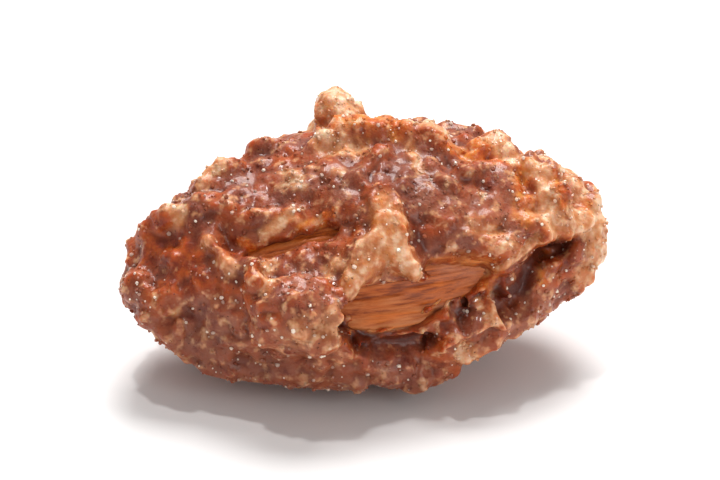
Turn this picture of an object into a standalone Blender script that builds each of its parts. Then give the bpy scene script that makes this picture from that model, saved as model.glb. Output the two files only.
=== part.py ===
"""A cinnamon almond: one roasted almond kernel in a lumpy crust of boiled cinnamon sugar.

The kernel is a whole almond with its furrowed skin. The crust is a thick shell of sugar lumps that
melted together round it, with windows where the sugar broke away and the skin shows.
The nut lies on its broad side, its long axis along X, the tip of the kernel towards -X.
"""

import math
import random

import bmesh
import bpy
from mathutils import Euler, Matrix, Vector, noise

MM = 0.001

# The kernel, without its furrows.
KERNEL_LENGTH = 23.0 * MM
KERNEL_WIDTH = 13.2 * MM
KERNEL_THICKNESS = 8.8 * MM
FURROWS = 13
FURROW_DEPTH = 0.22 * MM

# The sugar: its even layer over the kernel, its swells, and the lumps that grew on it.
CRUST_AT_TIPS = 1.75 * MM
CRUST_AT_SIDES = 1.35 * MM
CRUST_ON_FACES = 1.65 * MM
SWELL_HEIGHT = 0.4 * MM
SWELL_LENGTH = 4.5 * MM
LUMP_COUNT = 230
LUMP_RADIUS = (0.75 * MM, 1.5 * MM)
COBBLE_LENGTH = 1.45 * MM
COBBLE_HEIGHT = 0.36 * MM
CRAG_LENGTH = 0.9 * MM
CRAG_HEIGHT = 0.18 * MM
CLEARANCE = 0.3 * MM

# How the nut lies: rolled a little to the front, on a flat spot worn on its lowest lumps.
ROLL = math.radians(20)
TIP_DROOP = 1.2 * MM
FLAT_SPOT_DEPTH = 0.6 * MM

# The outline along the nut: how fast it fills out from the tip and from the blunt end.
TIP_FULLNESS = 0.60
END_FULLNESS = 0.58

MELT_VOXEL = 0.25 * MM
CRUST_TRIANGLES = 9000
SEED = 11

# Places on the nut are given as a station along it, from 0 at the tip to 1 at the blunt end, and
# the degrees round it from the top towards the front. The other numbers are millimetres.

# Where the layer is thinner and the kernel comes close: station, degrees, reach, depth.
THIN_PATCHES = {
    "streak_dip": (0.32, 20, 5.2, 1.10),
    "window_shoulder": (0.64, 34, 3.6, 0.65),
    "window_dip": (0.56, 60, 4.2, 0.60),
    "crown_dip": (0.760, 345, 3.2, 0.35),
    "end_dip": (0.860, 325, 2.6, 0.50),
    "under_tip": (0.24, 150, 5.0, 0.55),
    "under_middle": (0.47, 148, 5.0, 0.70),
    "under_end": (0.72, 130, 5.0, 0.55),
}

# Ridges of lumps: their places in turn, each with its radius and how far it stands out.
RIDGES = {
    "amber_nub": [(0.520, 312, 1.2, 0.15), (0.482, 304, 1.25, 1.15)],
    "crown": [(0.440, 328, 0.9, 0.00), (0.568, 330, 1.1, 0.10), (0.678, 338, 1.0, 0.20)],
    "shoulder": [(0.740, 340, 0.9, -0.25), (0.795, 333, 0.9, 0.45)],
    "rim_fold": [(0.820, 345, 1.0, -0.10), (0.867, 357, 1.15, 0.30), (0.885, 26, 1.1, 0.40)],
    "rim_outer": [(0.915, 330, 0.95, 0.00), (0.965, 350, 1.05, 0.30), (0.955, 20, 1.0, 0.30)],
    "rim_low": [(0.955, 30, 0.9, 0.35), (0.975, 70, 0.9, 0.20), (0.930, 95, 0.95, -0.15)],
    "rim_brow": [(0.770, 36, 0.7, 0.15), (0.855, 34, 0.8, 0.35), (0.945, 34, 0.8, 0.35)],
    "window_brow": [(0.640, 26, 0.7, 0.10), (0.730, 38, 0.7, 0.15), (0.790, 44, 0.6, 0.10)],
    "front_swell": [(0.300, 62, 2.5, -1.05), (0.370, 60, 2.5, -0.95)],
    "front_claw": [(0.233, 28, 0.6, 0.25), (0.240, 40, 0.7, 0.35), (0.225, 50, 0.5, 0.20)],
    "streak_claw": [(0.171, 12, 0.6, 0.20), (0.188, 29, 0.7, 0.25)],
    "streak_flake": [(0.270, 4, 0.7, 0.10), (0.330, 8, 0.6, 0.10)],
    "foot_front": [(0.420, 152, 1.3, -0.50), (0.600, 150, 1.3, -0.50)],
    "foot_back": [(0.400, 180, 1.3, -0.40), (0.620, 180, 1.3, -0.40)],
    "tip_crest": [(0.060, 330, 0.8, 0.10), (0.110, 340, 0.9, 0.35), (0.170, 345, 0.7, 0.20)],
    "left_knob": [(0.190, 332, 0.8, 0.35), (0.250, 326, 0.8, 0.30)],
    "left_keel": [(0.020, 20, 1.0, 0.10), (0.050, 82, 1.0, 0.00), (0.120, 115, 1.0, -0.30)],
    "belly": [(0.160, 112, 1.1, -0.30), (0.300, 110, 1.2, -0.45), (0.450, 106, 1.1, -0.30)],
    "belly_lump": [(0.500, 104, 1.1, -0.10), (0.570, 108, 1.3, 0.05), (0.640, 104, 1.0, 0.00)],
}

# Flaps that hang over the windows, from the last sugar to set.
FLAPS = {
    "tongue": [(0.515, 8, 0.9, 0.30), (0.526, 27, 0.95, 0.35), (0.563, 46, 0.5, 0.05)],
    "fork": [(0.464, 31, 0.8, 0.25), (0.425, 47, 0.5, 0.10)],
    "bridge": [(0.685, 70, 0.35, -0.35), (0.655, 78, 0.4, 0.05)],
    "lip": [(0.600, 88, 0.55, 0.15), (0.680, 80, 0.7, 0.30), (0.750, 78, 0.75, 0.35)],
    "lip_corner": [(0.640, 95, 0.9, 0.00), (0.720, 94, 0.9, -0.05), (0.830, 92, 0.9, -0.15)],
}
LUMP_SPACING = 0.45 * MM

# Where the sugar broke away: station, degrees round, half length, half width, turn of the long
# side from the nut's axis in degrees, and how far it reaches below the kernel's skin.
WINDOWS = {
    "main_window": (0.500, 60, 3.3, 1.45, 8, 0.9),
    "window_run": (0.640, 55, 3.2, 0.85, 10, 0.8),
    "window_notch": (0.545, 30, 0.9, 1.5, 0, 0.3),
    "groove": (0.560, 86, 2.1, 0.55, -4, 0.8),
    "pit_small": (0.663, 70, 0.95, 0.50, 25, 0.6),
    "pit_large": (0.805, 66, 1.60, 0.80, 60, 0.6),
    "end_groove": (0.880, 47, 1.70, 0.55, 5, 0.2),
    "streak_low": (0.270, 20, 2.6, 0.45, 3, 0.5),
    "streak_high": (0.370, 18, 2.4, 0.42, 4, 0.5),
    "back_window": (0.430, 262, 3.20, 1.25, -12, 0.8),
    "back_pit": (0.700, 282, 1.30, 0.70, 30, 0.5),
}


def clear_scene():
    for old in list(bpy.data.objects):
        bpy.data.objects.remove(old, do_unlink=True)


def new_collection(name):
    made = bpy.data.collections.new(name)
    bpy.context.scene.collection.children.link(made)
    return made


def move_to(collection, obj):
    for holder in list(obj.users_collection):
        holder.objects.unlink(obj)
    collection.objects.link(obj)


def principled(name, colour, roughness):
    material = bpy.data.materials.new(name)
    material.use_nodes = True
    shader = material.node_tree.nodes["Principled BSDF"]
    shader.inputs["Base Color"].default_value = (*colour, 1.0)
    shader.inputs["Roughness"].default_value = roughness
    shader.inputs["Metallic"].default_value = 0.0
    return material


def girth(station):
    """The nut's width at a station, from 0 at its two ends to 1 where it is widest."""
    widest = TIP_FULLNESS / (TIP_FULLNESS + END_FULLNESS)
    full = widest**TIP_FULLNESS * (1 - widest) ** END_FULLNESS
    station = min(max(station, 0.0), 1.0)
    return station**TIP_FULLNESS * (1 - station) ** END_FULLNESS / full


def nut_point(size, station, around):
    """The point of an almond of that length, width and thickness, at a station and an angle."""
    length, width, thickness = size
    share = girth(station)
    droop = TIP_DROOP * (1 - station) ** 2.5
    return Vector(
        (
            (station - 0.5) * length,
            -share * width / 2 * math.sin(around),
            share * thickness / 2 * math.cos(around) - droop,
        )
    )


def nut_normal(size, station, around):
    """The outward direction of an almond's surface at a station and an angle."""
    step = 0.002
    along = nut_point(size, station + step, around) - nut_point(size, station - step, around)
    across = nut_point(size, station, around + step) - nut_point(size, station, around - step)
    return across.cross(along).normalized()


def grown(size, ends, sides, faces):
    return (size[0] + 2 * ends, size[1] + 2 * sides, size[2] + 2 * faces)


def almond_mesh(name, segments, rings, surface):
    """An almond from a UV sphere whose poles become the tip and the blunt end."""
    bpy.ops.mesh.primitive_uv_sphere_add(segments=segments, ring_count=rings, radius=1)
    obj = bpy.context.object
    obj.name = obj.data.name = name
    for vertex in obj.data.vertices:
        x, y, z = vertex.co
        station = (1 + z) / 2
        around = math.atan2(-x, y)
        vertex.co = surface(station, around)
    return obj


KERNEL = (KERNEL_LENGTH, KERNEL_WIDTH, KERNEL_THICKNESS)
SUGAR = grown(KERNEL, CRUST_AT_TIPS, CRUST_AT_SIDES, CRUST_ON_FACES)


def kernel_skin(station, around):
    """The kernel's skin, with long furrows that wander a little and fade out at both ends."""
    place = nut_point(KERNEL, station, around)
    wander = 0.5 * math.sin(2.2 * math.pi * station)
    wave = math.cos(FURROWS * around + wander) + 0.5 * math.cos((FURROWS - 5) * around - 2 * wander)
    fade = min(1.0, 3 * girth(station) ** 2)
    towards_axis = Vector((0, -place.y, -place.z)).normalized()
    return place + towards_axis * FURROW_DEPTH * fade * (1.5 - wave) / 3


def kernel_seat(station, around):
    """The inside of the crust, clear of the kernel all round."""
    return nut_point(grown(KERNEL, CLEARANCE, CLEARANCE, CLEARANCE), station, around)


def sugar_layer(station, around):
    return outside_point(station, around, 0)


def layer_height(place):
    """How far the sugar layer rises or dips at a place: its slow swells and its thin patches."""
    height = SWELL_HEIGHT * noise.noise(place / SWELL_LENGTH)
    for station, degrees, reach, depth in THIN_PATCHES.values():
        middle = nut_point(SUGAR, station, math.radians(degrees))
        nearness = 1 - (place - middle).length / (reach * MM)
        if nearness > 0:
            height -= depth * MM * nearness * nearness * (3 - 2 * nearness)
    return height


def outside_point(station, around, out):
    """A point that stands out from the sugar layer by out."""
    place = nut_point(SUGAR, station, around)
    normal = nut_normal(SUGAR, min(max(station, 0.02), 0.98), around)
    return place + normal * (out + layer_height(place))


def build_kernel(nut):
    kernel = almond_mesh("almond_kernel", 52, 18, kernel_skin)
    kernel.data.materials.append(principled("roasted_skin", (0.30, 0.11, 0.035), 0.55))
    move_to(nut, kernel)
    return kernel


def lump_mesh():
    """A rough ball of sugar with flat facets."""
    bpy.ops.mesh.primitive_ico_sphere_add(subdivisions=2, radius=1)
    pattern = bpy.context.object
    mesh = pattern.data
    mesh.name = "sugar_lump"
    bpy.data.objects.remove(pattern)
    for vertex in mesh.vertices:
        vertex.co *= 1 + 0.22 * noise.noise(vertex.co * 1.9)
    return mesh


def add_lump(lumps, mesh, draw, place, radius, squash):
    """One lump of sugar, turned any way and squashed by up to the share given."""
    turn = Euler([draw.uniform(0, math.tau) for _ in range(3)])
    sizes = [radius * draw.uniform(1 - squash, 1 + squash / 3) for _ in range(3)]
    obj = bpy.data.objects.new(mesh.name, mesh)
    spin = turn.to_matrix().to_4x4()
    obj.matrix_world = Matrix.Translation(place) @ spin @ Matrix.Diagonal((*sizes, 1))
    lumps.objects.link(obj)


def grow_ridges(lumps, mesh, draw, ridges):
    """Lumps set close together along each ridge, their sizes running from place to place."""
    for places in ridges.values():
        for start, end in zip(places, places[1:]):
            turned = (end[1] - start[1] + 180) % 360 - 180
            a = outside_point(start[0], math.radians(start[1]), start[3] * MM)
            b = outside_point(end[0], math.radians(end[1]), end[3] * MM)
            steps = max(2, round((b - a).length / LUMP_SPACING))
            for i in range(steps + 1):
                share = i / steps
                values = [start[k] * (1 - share) + end[k] * share for k in range(4)]
                around = math.radians(start[1] + turned * share)
                place = outside_point(values[0], around, values[3] * MM)
                add_lump(lumps, mesh, draw, place, values[2] * MM, 0.2)


def grow_lumps(lumps, mesh, draw):
    """Small lumps at stations spread evenly over the whole surface."""
    golden_angle = math.pi * (3 - math.sqrt(5))
    for i in range(LUMP_COUNT):
        station = (i + draw.random()) / LUMP_COUNT
        around = i * golden_angle + draw.uniform(-0.3, 0.3)
        radius = draw.triangular(*LUMP_RADIUS, LUMP_RADIUS[0])
        out = draw.uniform(-0.85, -0.3) * radius
        add_lump(lumps, mesh, draw, outside_point(station, around, out), radius, 0.35)


def apply_modifier(obj, modifier):
    with bpy.context.temp_override(object=obj, active_object=obj, selected_objects=[obj]):
        bpy.ops.object.modifier_apply(modifier=modifier.name)


def boolean(obj, name, operation, collection=None, other=None):
    modifier = obj.modifiers.new(name, "BOOLEAN")
    modifier.operation = operation
    modifier.solver = "MANIFOLD"
    if collection:
        modifier.operand_type = "COLLECTION"
        modifier.collection = collection
    else:
        modifier.object = other
    return modifier


def window_cutter(cutters, name, station, degrees, half_length, half_width, turn, reach):
    """An ellipsoid that takes the sugar away down to just below the kernel's skin."""
    around = math.radians(degrees)
    outside = nut_point(SUGAR, station, around)
    normal = nut_normal(SUGAR, station, around)
    skin = nut_point(KERNEL, station, around)
    depth = (outside - skin).dot(normal) + reach * MM
    along = nut_point(SUGAR, station + 0.01, around) - nut_point(SUGAR, station - 0.01, around)
    along = Matrix.Rotation(math.radians(turn), 3, normal) @ (along - along.dot(normal) * normal)
    along.normalize()
    axes = Matrix((along, normal.cross(along), normal)).transposed().to_4x4()
    bpy.ops.mesh.primitive_uv_sphere_add(segments=24, ring_count=12, radius=1)
    cutter = bpy.context.object
    cutter.name = name
    sizes = Matrix.Diagonal((half_length * MM, half_width * MM, depth, 1))
    cutter.data.transform(Matrix.Translation(outside) @ axes @ sizes)
    hide_helper(cutters, cutter)
    return cutter


def hide_helper(cutters, obj):
    move_to(cutters, obj)
    obj.hide_render = True
    obj.display_type = "WIRE"


def fuse(crust, lumps):
    """Joins the lumps to the crust and removes their objects."""
    apply_modifier(crust, boolean(crust, "fuse", "UNION", collection=lumps))
    for lump in list(lumps.objects):
        bpy.data.objects.remove(lump)
    bpy.data.collections.remove(lumps)


def cobbles(place):
    """How high the sugar's grains stand at a place: round cells with creases between them."""
    near = noise.voronoi(place / COBBLE_LENGTH)[0]
    crease = min(1.0, (near[1] - near[0]) / 0.45)
    patch = 0.5 + 0.5 * noise.noise(place / (3 * COBBLE_LENGTH))
    fine = noise.fractal(place / CRAG_LENGTH, 1.0, 2.0, 2)
    return COBBLE_HEIGHT * (crease * (2 - crease) - 0.7) * (0.35 + patch) + CRAG_HEIGHT * fine


def soften(crust, rounds):
    modifier = crust.modifiers.new("soften", "SMOOTH")
    modifier.factor = 0.5
    modifier.iterations = rounds
    apply_modifier(crust, modifier)


def melt(crust):
    """Melts the lumps into one body, roughens it and thins its triangles out."""
    remesh = crust.modifiers.new("melt", "REMESH")
    remesh.mode = "VOXEL"
    remesh.voxel_size = MELT_VOXEL
    apply_modifier(crust, remesh)
    soften(crust, 2)
    moves = [vertex.normal * cobbles(vertex.co) for vertex in crust.data.vertices]
    for vertex, move in zip(crust.data.vertices, moves):
        vertex.co += move
    soften(crust, 2)
    thin = crust.modifiers.new("thin_out", "DECIMATE")
    thin.ratio = CRUST_TRIANGLES / sum(len(face.vertices) - 2 for face in crust.data.polygons)
    thin.use_collapse_triangulate = True
    apply_modifier(crust, thin)


def lowest(obj):
    return min((obj.matrix_world @ vertex.co).z for vertex in obj.data.vertices)


def floor_cutter(cutters, crust):
    """A block whose top lies a little above the crust's lowest point, to give it a flat spot."""
    side = 2 * SUGAR[0]
    bpy.ops.mesh.primitive_cube_add(size=side)
    block = bpy.context.object
    block.name = "flat_spot_cutter"
    block.location = (0, 0, lowest(crust) + FLAT_SPOT_DEPTH - side / 2)
    hide_helper(cutters, block)
    return block


def build_crust(nut, cutters, pose):
    draw = random.Random(SEED)
    crust = almond_mesh("sugar_crust", 64, 32, sugar_layer)
    crust.data.materials.append(principled("cinnamon_sugar", (0.46, 0.17, 0.07), 0.4))
    move_to(nut, crust)
    pattern = lump_mesh()
    lumps = new_collection("lumps")
    grow_lumps(lumps, pattern, draw)
    grow_ridges(lumps, pattern, draw, RIDGES)
    fuse(crust, lumps)
    for name, sizes in WINDOWS.items():
        cutter = window_cutter(cutters, name, *sizes)
        apply_modifier(crust, boolean(crust, name, "DIFFERENCE", other=cutter))
    flaps = new_collection("flaps")
    grow_ridges(flaps, pattern, draw, FLAPS)
    fuse(crust, flaps)
    melt(crust)
    seat = almond_mesh("kernel_seat", 36, 16, kernel_seat)
    hide_helper(cutters, seat)
    apply_modifier(crust, boolean(crust, "kernel_seat", "DIFFERENCE", other=seat))
    crust.parent = pose
    bpy.context.view_layer.update()
    block = floor_cutter(cutters, crust)
    bpy.context.view_layer.update()
    apply_modifier(crust, boolean(crust, "flat_spot", "DIFFERENCE", other=block))
    return crust


def drop_scraps(obj):
    """Keeps the largest piece of the mesh: a window can cut a crumb loose."""
    mesh = bmesh.new()
    mesh.from_mesh(obj.data)
    left = set(mesh.verts)
    pieces = []
    while left:
        grown_from = [left.pop()]
        piece = set(grown_from)
        while grown_from:
            for edge in grown_from.pop().link_edges:
                for vertex in edge.verts:
                    if vertex in left:
                        left.remove(vertex)
                        piece.add(vertex)
                        grown_from.append(vertex)
        pieces.append(piece)
    pieces.sort(key=len)
    for piece in pieces[:-1]:
        bmesh.ops.delete(mesh, geom=list(piece), context="VERTS")
    mesh.to_mesh(obj.data)
    mesh.free()


def stand_on_origin(pose, crust):
    """Puts the bottom centre of the nut's box at the origin."""
    bpy.context.view_layer.update()
    points = [crust.matrix_world @ vertex.co for vertex in crust.data.vertices]
    low = Vector([min(p[i] for p in points) for i in range(3)])
    high = Vector([max(p[i] for p in points) for i in range(3)])
    middle = (low + high) / 2
    pose.location -= Vector((middle.x, middle.y, low.z))


def main():
    clear_scene()
    nut = new_collection("cinnamon_almond")
    cutters = new_collection("cutters")
    pose = bpy.data.objects.new("lying_pose", None)
    nut.objects.link(pose)
    pose.rotation_euler.x = ROLL
    bpy.context.view_layer.update()
    kernel = build_kernel(nut)
    kernel.parent = pose
    crust = build_crust(nut, cutters, pose)
    drop_scraps(crust)
    stand_on_origin(pose, crust)
    kernel.data.shade_smooth()


main()
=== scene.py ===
import math

import bmesh
import bpy
import numpy as np
from mathutils import Euler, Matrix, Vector, noise
from mathutils.bvhtree import BVHTree


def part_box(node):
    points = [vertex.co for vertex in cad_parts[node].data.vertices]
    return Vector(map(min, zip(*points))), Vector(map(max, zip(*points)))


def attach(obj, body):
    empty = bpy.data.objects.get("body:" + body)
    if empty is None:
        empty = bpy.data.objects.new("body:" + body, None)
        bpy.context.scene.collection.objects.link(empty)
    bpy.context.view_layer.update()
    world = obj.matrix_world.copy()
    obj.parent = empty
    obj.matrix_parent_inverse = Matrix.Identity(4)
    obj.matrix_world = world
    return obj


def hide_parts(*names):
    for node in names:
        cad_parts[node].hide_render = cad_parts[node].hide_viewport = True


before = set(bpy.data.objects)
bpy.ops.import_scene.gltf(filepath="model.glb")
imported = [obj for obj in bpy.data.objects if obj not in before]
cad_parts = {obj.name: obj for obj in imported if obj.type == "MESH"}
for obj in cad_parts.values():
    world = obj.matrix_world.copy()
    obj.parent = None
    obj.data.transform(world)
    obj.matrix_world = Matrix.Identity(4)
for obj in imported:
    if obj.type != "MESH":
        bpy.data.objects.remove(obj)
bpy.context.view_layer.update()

# The almond kernel: one whole roasted nut with its brown skin on. The skin dried into long furrows
# that run from tip to end, dark in their beds and tan on their ridges. It shows in the windows.
MM = 0.001
KERNEL_LENGTH = 23.0 * MM
KERNEL_WIDTH = 13.2 * MM
KERNEL_THICKNESS = 8.8 * MM
KERNEL_SIZE = (KERNEL_LENGTH, KERNEL_WIDTH, KERNEL_THICKNESS)
TIP_FULLNESS = 0.60
END_FULLNESS = 0.58
TIP_DROOP = 1.2 * MM
ROLL = math.radians(20)
GLAZE = 0.26 * MM
SKIN_SEGMENTS = 420
SKIN_RINGS = 150

# The skin's relief at three scales: how high it is, and how many waves it has round and along.
SKIN_RIDGE_HEIGHT = 0.22 * MM
SKIN_RIDGE_WAVES = (4.6, 2.6)
SKIN_LINE_HEIGHT = 0.12 * MM
SKIN_LINE_WAVES = (17.0, 5.5)
SKIN_WRINKLE_HEIGHT = 0.02 * MM
SKIN_WRINKLE_WAVES = (34.0, 22.0)

# Painted shade on the skin where it lies deep in the trench, the small pit and the gap: paths of a
# station along the nut, the degrees round it from the top towards the front, and the reach in
# millimetres.
SKIN_SHADE_PATHS = [
    [(0.425, 80, 0.4), (0.480, 87, 0.6), (0.600, 88, 0.6)],
    [(0.630, 72, 0.35), (0.700, 70, 0.35)],
    [(0.765, 76, 0.6), (0.800, 60, 0.8), (0.860, 46, 0.9), (0.940, 54, 1.0)],
]
# The strip of skin that a thin haze of sugar lies on, given in the same way.
HAZED = [(0.570, 50, 0.6), (0.650, 52, 0.8), (0.720, 55, 0.5)]

# A patch's edge, in shares of its reach: where it ends, how soft it is and how far it frays.
PATCH_END = 1.5
PATCH_SOFT = 1.1
PATCH_FRAY = 0.6


def mesh_points(mesh):
    """The places of a mesh's vertices, one row each."""
    flat = np.zeros(len(mesh.vertices) * 3)
    mesh.vertices.foreach_get("co", flat)
    return flat.reshape(-1, 3)


def mesh_normals(mesh):
    flat = np.zeros(len(mesh.vertices) * 3, np.float32)
    mesh.vertices.foreach_get("normal", flat)
    return flat.reshape(-1, 3).astype(float)


def set_points(mesh, places):
    mesh.vertices.foreach_set("co", places.ravel())
    mesh.update()


def set_shares(mesh, name, values):
    """Stores one number at each vertex, for the mesh's material to read."""
    layer = mesh.attributes.new(name, "FLOAT", "POINT")
    layer.data.foreach_set("value", np.asarray(values, np.float32))


cad_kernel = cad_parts["almond_kernel"].data
kernel_places = mesh_points(cad_kernel)
blunt_end = kernel_places[np.argmax(kernel_places[:, 0])]
nut_middle = Vector(blunt_end) - Vector((KERNEL_LENGTH / 2, 0, 0))
roll = Euler((ROLL, 0, 0)).to_matrix()


def girth(station):
    """The nut's width at a station, from 0 at its two ends to 1 where it is widest."""
    widest = TIP_FULLNESS / (TIP_FULLNESS + END_FULLNESS)
    full = widest**TIP_FULLNESS * (1 - widest) ** END_FULLNESS
    return station**TIP_FULLNESS * (1 - station) ** END_FULLNESS / full


def droop(station):
    """How far the nut's middle line hangs down towards its tip."""
    return TIP_DROOP * (1 - station) ** 2.5


def kernel_place(station, around, sunk=0.0):
    """The place on the kernel at a station along it, at an angle round it from its top."""
    share = float(girth(min(max(station, 0.0), 1.0)))
    place = Vector(
        (
            (station - 0.5) * (KERNEL_LENGTH - 2 * sunk),
            -share * (KERNEL_WIDTH / 2 - sunk) * math.sin(around),
            share * (KERNEL_THICKNESS / 2 - sunk) * math.cos(around),
        )
    )
    place.z -= droop(station)
    return nut_middle + roll @ place


def skin_noise(station, around, waves):
    """Noise drawn out along the nut, with a number of waves round and along it."""
    x, y = waves[0] * math.cos(around), waves[0] * math.sin(around)
    return noise.noise(Vector((x, y, waves[1] * station)))


def skin_depth(station, around):
    """How far the skin dips below its highest ridges."""
    line = min(1.0, 2.2 * abs(skin_noise(station, around, SKIN_LINE_WAVES)))
    depth = SKIN_RIDGE_HEIGHT * (0.5 - 0.5 * skin_noise(station, around, SKIN_RIDGE_WAVES))
    depth += SKIN_LINE_HEIGHT * (1 - line)
    depth += SKIN_WRINKLE_HEIGHT * (0.5 - 0.5 * skin_noise(station, around, SKIN_WRINKLE_WAVES))
    return depth


def patch(station, around, wander, path, size):
    """1 along a path over the surface and 0 away from it, with a ragged edge."""
    length, width, thickness = (side / MM for side in size)
    radius = girth(station) / 2 * np.hypot(thickness * np.sin(around), width * np.cos(around))
    reach = np.full(len(station), np.inf)
    for start, end in zip(path, path[1:] or path):
        off = (around - math.radians(start[1]) + math.pi) % (2 * math.pi) - math.pi
        bend = math.radians((end[1] - start[1] + 180) % 360 - 180)
        x, y = (station - start[0]) * length, off * radius
        long_x, long_y = (end[0] - start[0]) * length, bend * radius
        share = np.clip((x * long_x + y * long_y) / (long_x**2 + long_y**2 + 1e-9), 0, 1)
        away = np.hypot(x - share * long_x, y - share * long_y)
        reach = np.minimum(reach, away / (start[2] + (end[2] - start[2]) * share))
    soft = np.clip((PATCH_END - reach - PATCH_FRAY * wander) / PATCH_SOFT, 0, 1)
    return soft * soft * (3 - 2 * soft)


bpy.ops.mesh.primitive_uv_sphere_add(segments=SKIN_SEGMENTS, ring_count=SKIN_RINGS, radius=1)
kernel = bpy.context.object
kernel.name = kernel.data.name = "kernel_skin"
rows = []
for vertex in kernel.data.vertices:
    x, y, z = vertex.co
    station = (1 + z) / 2
    around = math.atan2(-x, y)
    depth = skin_depth(station, around)
    rows.append((depth, station, around))
    vertex.co = kernel_place(station, around, sunk=depth - GLAZE)
kernel.data.shade_smooth()
depths, station, around = np.array(rows).T
set_shares(kernel.data, "furrow", depths / (SKIN_RIDGE_HEIGHT + SKIN_LINE_HEIGHT))
skin_shade = [patch(station, around, 0.0, path, KERNEL_SIZE) for path in SKIN_SHADE_PATHS]
set_shares(kernel.data, "skin_shade", np.max(skin_shade, axis=0))
set_shares(kernel.data, "hazed", patch(station, around, 0.0, HAZED, KERNEL_SIZE))


class Wire:
    """A socket of a material. Arithmetic on it adds Math nodes, and node() adds any other."""

    def __init__(self, tree, socket=None):
        self.tree = tree
        self.socket = socket

    def node(self, kind, settings, inputs, output=0):
        made = self.tree.nodes.new(kind)
        for key, value in settings.items():
            setattr(made, key, value)
        for key, value in inputs.items():
            if isinstance(value, Wire):
                self.tree.links.new(value.socket, made.inputs[key])
            else:
                made.inputs[key].default_value = value
        return Wire(self.tree, made.outputs[output])

    def math(self, operation, *terms):
        return self.node("ShaderNodeMath", {"operation": operation}, dict(enumerate(terms)))

    def __add__(self, other):
        return self.math("ADD", self, other)

    def __radd__(self, other):
        return self.math("ADD", other, self)

    def __sub__(self, other):
        return self.math("SUBTRACT", self, other)

    def __rsub__(self, other):
        return self.math("SUBTRACT", other, self)

    def __mul__(self, other):
        return self.math("MULTIPLY", self, other)

    def __rmul__(self, other):
        return self.math("MULTIPLY", other, self)

    def between(self, low, high):
        """0 below low, 1 above high, and smooth between them."""
        settings = {"interpolation_type": "SMOOTHSTEP"}
        return self.node("ShaderNodeMapRange", settings, {0: self, 1: low, 2: high})

    def blend(self, low, high):
        """The colour low where this number is 0, and high where it is 1."""
        return self.node("ShaderNodeMix", {"data_type": "RGBA"}, {0: self, 6: low, 7: high}, 2)

    def speckled(self, size, detail=2.0, roughness=0.5):
        """Soft noise of a size in metres over this place."""
        inputs = {"Vector": self, "Scale": 1 / size, "Detail": detail, "Roughness": roughness}
        return self.node("ShaderNodeTexNoise", {}, inputs)

    def lengthwise(self):
        """A place squeezed along the nut, so that noise on it draws out into streaks."""
        inputs = {0: self, 1: (0.12, 1, 1)}
        return self.node("ShaderNodeVectorMath", {"operation": "MULTIPLY"}, inputs)

    def share(self, name):
        """A number stored at the mesh's vertices."""
        return self.node("ShaderNodeAttribute", {"attribute_name": name}, {}, "Fac")

    def bump(self, height, distance):
        inputs = {"Height": height, "Distance": distance, "Strength": 1.0}
        return self.node("ShaderNodeBump", {}, inputs)


def srgb(red, green, blue):
    """A colour given as it looks on a screen, from 0 to 255, as the shader wants it."""
    values = [channel / 255 for channel in (red, green, blue)]
    values = [v / 12.92 if v <= 0.04045 else ((v + 0.055) / 1.055) ** 2.4 for v in values]
    return (*values, 1.0)


def new_material(name):
    """A new material: its shader, a wire to build from, and the place on the object."""
    material = bpy.data.materials.new(name)
    material.use_nodes = True
    shader = material.node_tree.nodes["Principled BSDF"]
    wire = Wire(material.node_tree)
    place = wire.node("ShaderNodeTexCoord", {}, {}, "Object")
    return material, shader, wire, place


def feed(shader, name, value):
    """Sets one of the shader's sockets, or links it to a wire."""
    if isinstance(value, Wire):
        value.tree.links.new(value.socket, shader.inputs[name])
    else:
        shader.inputs[name].default_value = value


AMBER_SKIN = srgb(204, 106, 38)
TAN_SKIN = srgb(200, 122, 70)
FURROW_SIDE = srgb(168, 76, 24)
FURROW_BED = srgb(106, 40, 16)
SUGAR_VEIL = srgb(200, 126, 92)
SKIN_SHADE_COLOUR = srgb(78, 24, 10)
STREAK_SIZE = 0.15 * MM
BAND_SIZE = 0.9 * MM
SKIN_PORE_SIZE = 0.12 * MM
SKIN_PORE_DEPTH = 0.03 * MM

skin, shader, wire, place = new_material("roasted_skin")
streaks = place.lengthwise().speckled(STREAK_SIZE, detail=4, roughness=0.65)
bands = place.lengthwise().speckled(BAND_SIZE)
colour = bands.between(0.4, 0.62).blend(AMBER_SKIN, TAN_SKIN)
tone = wire.share("furrow") * 0.9 + streaks * 1.3 - 0.55
colour = (tone.between(0.3, 0.7) * 0.65).blend(colour, FURROW_SIDE)
colour = (tone.between(0.6, 0.9) * 0.7).blend(colour, FURROW_BED)
veil = wire.share("hazed") * bands.between(0.3, 0.6) * 0.6
colour = veil.blend(colour, SUGAR_VEIL)
# painted shade: the skin darkens to red-brown in the trench, small pit and gap
colour = (wire.share("skin_shade") * 0.9).blend(colour, SKIN_SHADE_COLOUR)
feed(shader, "Base Color", colour)
feed(shader, "Roughness", 0.46)
feed(shader, "Normal", wire.bump(place.speckled(SKIN_PORE_SIZE, detail=3), SKIN_PORE_DEPTH))
feed(shader, "Specular IOR Level", 0.25)
feed(shader, "Coat Weight", 0.08)
feed(shader, "Coat Roughness", 0.2)
kernel.data.materials.append(skin)
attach(kernel, "root")
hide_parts("almond_kernel")

# The sugar crust: cinnamon sugar boiled till it grained, then stirred round the nut, so that coarse
# lumps stuck on and half melted into one shell. It is translucent: red-brown where it is thin over
# the skin, clear orange where it melted, frosted or pale where it grained. Its colour also holds
# painted shade in the creases and painted light on the crests.
SUGAR_LENGTH = 26.5 * MM
SUGAR_WIDTH = 15.9 * MM
SUGAR_THICKNESS = 12.1 * MM
SUGAR_SIZE = (SUGAR_LENGTH, SUGAR_WIDTH, SUGAR_THICKNESS)
CRUST_TRIANGLES = 194000

# Crumbs over the whole crust: how many, their radius, how far they are sunk as a share of it, and
# how thick the crust has to be to hold one.
CRUMBS = 520
CRUMB_RADIUS = (0.16 * MM, 0.42 * MM)
CRUMB_SUNK = 0.45
CRUMB_REACH = 0.8 * MM

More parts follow.
